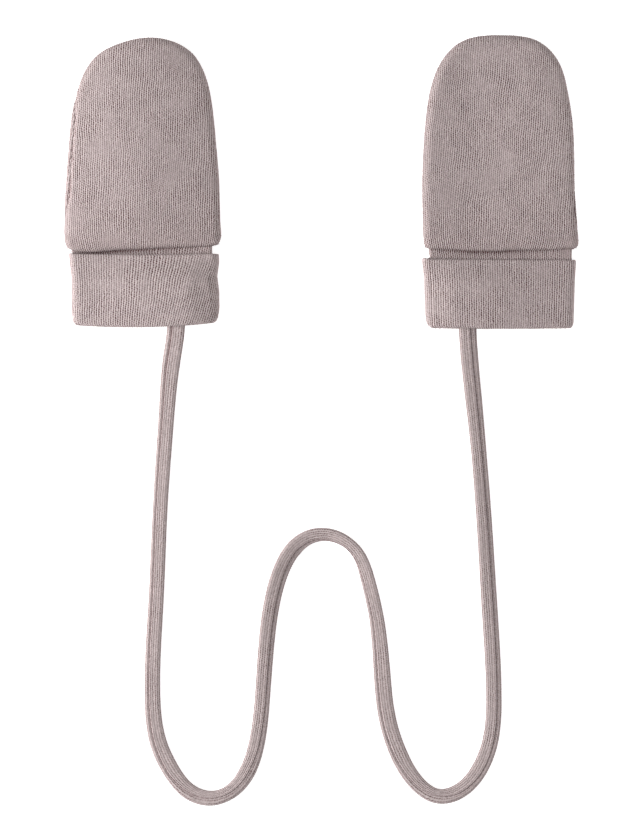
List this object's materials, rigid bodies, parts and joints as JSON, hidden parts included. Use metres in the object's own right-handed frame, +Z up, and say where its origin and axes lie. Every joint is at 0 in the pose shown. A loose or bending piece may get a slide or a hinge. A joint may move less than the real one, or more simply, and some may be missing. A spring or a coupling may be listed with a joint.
{
  "type": "pair of baby mittens on a cord",
  "caption": "Pair of thumbless baby's mittens of fine wool jersey with turned-up cuffs, laid flat and joined by a long soft knitted cord.",
  "frame": {"origin": "on the surface that the mittens lie on, at the middle of the two mittens' box, between them", "axes": "+Z up out of the surface, +Y towards the fingertips, +X from the left mitten to the right one"},
  "size_m": [0.237, 0.3541, 0.01],
  "materials": {
    "hand_jersey": "fine matt wool jersey, warm taupe",
    "cuff_jersey": "fine matt wool jersey, warm taupe, folded double",
    "cord_jersey": "fine matt wool jersey, warm taupe, folded and stitched"
  },
  "bodies": {
    "root": {"left_mitten_front": "hand_jersey", "left_mitten_back": "hand_jersey", "left_cuff": "cuff_jersey", "right_mitten_front": "hand_jersey", "right_mitten_back": "hand_jersey", "right_cuff": "cuff_jersey", "cord": "cord_jersey"}
  },
  "joints": []
}
